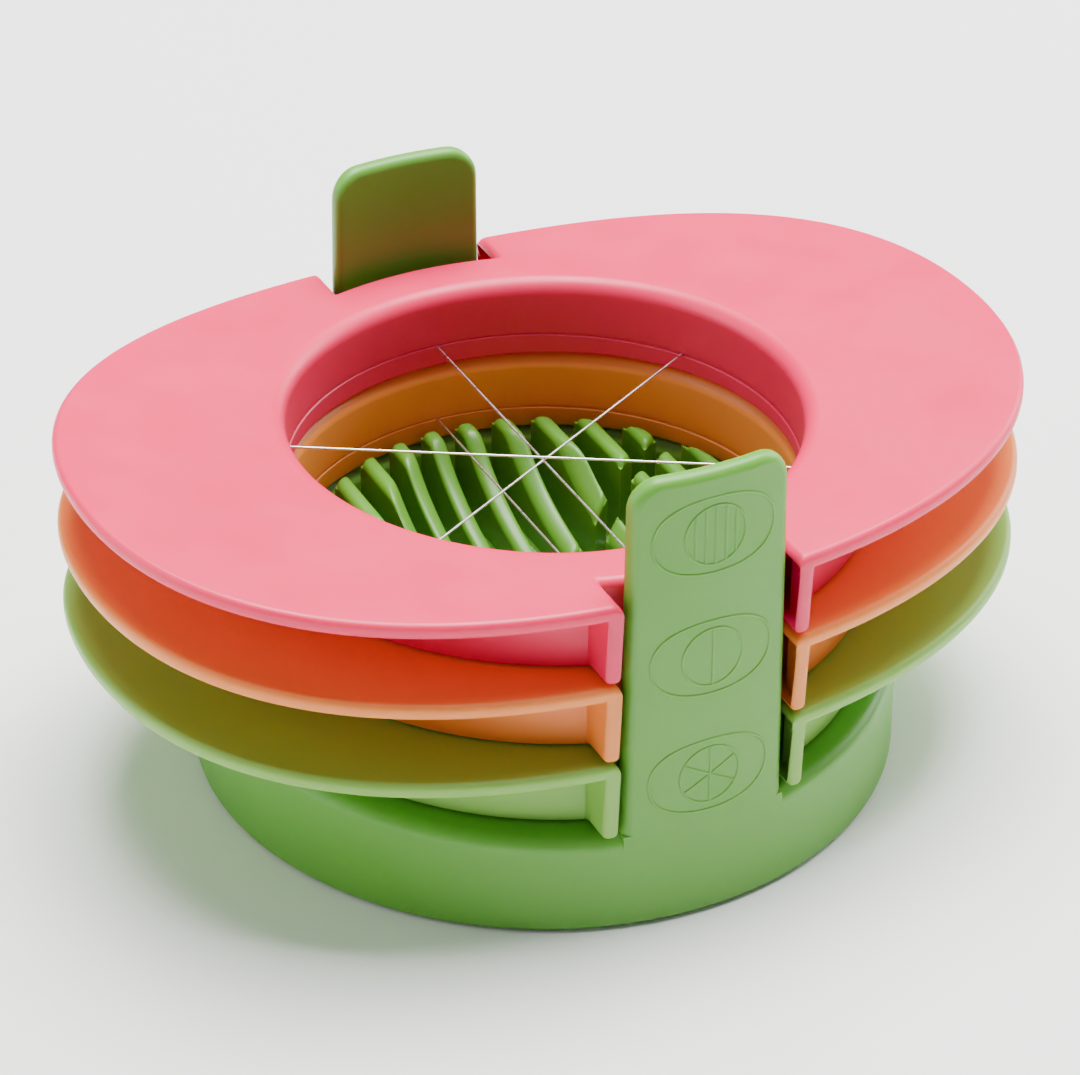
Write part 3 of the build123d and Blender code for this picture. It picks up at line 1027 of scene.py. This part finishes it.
    def _pictogram(self, cutter: Cutter, middle: float) -> bpy.types.Object:
        """One raised line picture: the cutter's outline, its opening and its wires."""
        half_length, half_width, opening, line = 7.8 * MM, 5.0 * MM, 3.9 * MM, 0.2 * MM
        quarter = [STACK.outline(i / 12, half_length, half_width) for i in range(12)]
        outline = []
        for turn in range(4):
            flip = turn % 2
            for p in ([q for q in quarter] if not flip else
                      [STACK.outline(1 - i / 12, half_length, half_width) for i in range(12)]):
                signs = ((1, 1), (-1, 1), (-1, -1), (1, -1))[turn]
                outline.append(Vector((p.x * signs[0], p.y * signs[1])))
        circle = [Vector((opening * math.cos(math.tau * i / 40), opening * math.sin(math.tau * i / 40)))
                  for i in range(40)]
        if cutter is Cutter.SLICE:
            runs = [(x * 1.3 * MM, 90.0) for x in (-2, -1, 0, 1, 2)]
        else:
            runs = [(0.0, angle) for _, angle, _ in cutter.runs]
        strokes = [(outline, True), (circle, True)]
        for offset, angle in runs:
            half = math.sqrt(opening ** 2 - offset ** 2)
            turn = math.radians(angle)
            way, out = Vector((math.cos(turn), math.sin(turn))), Vector((math.sin(turn), -math.cos(turn)))
            strokes.append(([out * offset + way * half * t for t in (-1, -0.5, 0, 0.5, 1)], False))
        curve = bpy.data.curves.new("pictogram", "CURVE")
        curve.dimensions = "3D"
        curve.bevel_depth = line
        curve.bevel_resolution = 3
        for points, closed in strokes:
            spline = curve.splines.new("POLY")
            spline.points.add(len(points) - 1)
            spline.use_cyclic_u = closed
            for target, p in zip(spline.points, points):
                radius = self.outside(middle + p.y) - self.icon_sink
                target.co = (p.x, -math.sqrt(radius ** 2 - p.x ** 2), middle + p.y, 1.0)
        source = bpy.data.objects.new("pictogram", curve)
        mesh = bpy.data.meshes.new_from_object(source)
        bpy.data.objects.remove(source)
        for polygon in mesh.polygons:
            polygon.use_smooth = True
        piece = bpy.data.objects.new(f"{cutter.value}_pictogram", mesh)
        bpy.context.scene.collection.objects.link(piece)
        piece.data.materials.clear()
        piece.data.materials.append(self.finish)
        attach(piece, "base")
        return piece


# ------------------------------------------------------------------ studio
@dataclass
class Studio:
    """Pale floor, soft lights and the camera."""

    azimuth: float = -26.183
    elevation: float = 32.458
    roll: float = 0.376
    distance: float = 465.3 * MM
    slide: tuple[float, float] = (-0.593 * MM, -15.94 * MM)
    aim: tuple[float, float, float] = (0.0, 0.0, 46.4 * MM)
    lens: float = 126.55

    def camera(self) -> None:
        """Place the camera."""
        a, e, roll = (math.radians(v) for v in (self.azimuth, self.elevation, self.roll))
        right = Vector((math.cos(a), math.sin(a), 0))
        ahead = Vector((-math.sin(a) * math.cos(e), math.cos(a) * math.cos(e), -math.sin(e)))
        up = right.cross(ahead)
        right, up = (right * math.cos(roll) + up * math.sin(roll),
                     up * math.cos(roll) - right * math.sin(roll))
        place = Vector(self.aim) - ahead * self.distance + right * self.slide[0] + up * self.slide[1]
        data = bpy.data.cameras.new("camera")
        data.sensor_width = 36.0
        data.lens = self.lens
        data.clip_start = 0.01
        camera = bpy.data.objects.new("camera", data)
        turn = Matrix((right, up, -ahead)).transposed().to_4x4()
        camera.matrix_world = Matrix.Translation(place) @ turn
        bpy.context.scene.collection.objects.link(camera)
        bpy.context.scene.camera = camera

    def light(self, name: str, place: Sequence[float], size: float, power: float,
              colour: str = "#ffffff") -> None:
        """Add a soft square light aimed at the slicer.

        Args:
            name: its name.
            place: its position, in metres.
            size: length of a side, in metres.
            power: its power, in watts.
            colour: its colour.
        """
        data = bpy.data.lights.new(name, "AREA")
        data.shape = "SQUARE"
        data.size = size
        data.energy = power
        data.color = linear(colour)[:3]
        lamp = bpy.data.objects.new(name, data)
        aim = Vector((0, 0, 0.03)) - Vector(place)
        lamp.rotation_euler = aim.to_track_quat("-Z", "Y").to_euler()
        lamp.location = place
        bpy.context.scene.collection.objects.link(lamp)

    def build(self) -> None:
        """Set up floor, world, lights and camera."""
        bm = bmesh.new()
        bmesh.ops.create_grid(bm, x_segments=1, y_segments=1, size=6.0)
        floor = new_object("studio_floor", bm)
        paper = bpy.data.materials.new("floor_paper")
        paper.use_nodes = True
        shader = paper.node_tree.nodes["Principled BSDF"]
        shader.inputs["Base Color"].default_value = linear("#f6f6f5")
        shader.inputs["Roughness"].default_value = 0.9
        floor.data.materials.append(paper)
        world = bpy.data.worlds.new("studio")
        world.use_nodes = True
        sky = world.node_tree.nodes["Background"]
        sky.inputs["Color"].default_value = linear("#f3f5f8")
        sky.inputs["Strength"].default_value = 0.3
        bpy.context.scene.world = world
        self.light("overhead", (0.15, 0.2, 1.1), 0.8, 44.0)
        self.light("from_right", (0.95, 0.2, 0.5), 0.6, 9.0)
        self.light("from_left", (-0.95, 0.35, 0.45), 0.6, 4.5)
        self.camera()


# ------------------------------------------------------------------ the object
def main() -> None:
    """Build every piece, in order, and report it."""
    logging.basicConfig(level=logging.INFO, format="%(name)s: %(message)s")
    steel = DrawnWire().material()
    for cutter in Cutter:
        plastic = CUTTER_PLASTIC[cutter].material()
        winged = WingedFrame(cutter, plastic)
        winged.build()
        WireRing(cutter, plastic).build(winged.level)
        CuttingWires(cutter, steel).build(winged.level)
        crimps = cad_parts[f"{cutter.value}_wire_crimps"]
        crimps.data.materials.clear()
        crimps.data.materials.append(steel)
        log.info("built the %s cutter", cutter.value)
    # the cradle takes the darker copy of the base green, with painted shade of its recess
    EggCradle(CRADLE_GREEN_PAINTED_SHADE.material()).build()
    log.info("built the cradle")
    base = Base(BASE_GREEN.material(), SoftRubber().material())
    base.build_shell()
    base.build_ring()
    base.build_pictograms()
    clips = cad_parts["cradle_peg_clips"]
    clips.data.materials.clear()
    clips.data.materials.append(steel)
    log.info("built the base")
    Studio().build()
    log.info("set up the studio")


if __name__ == "__main__":
    main()
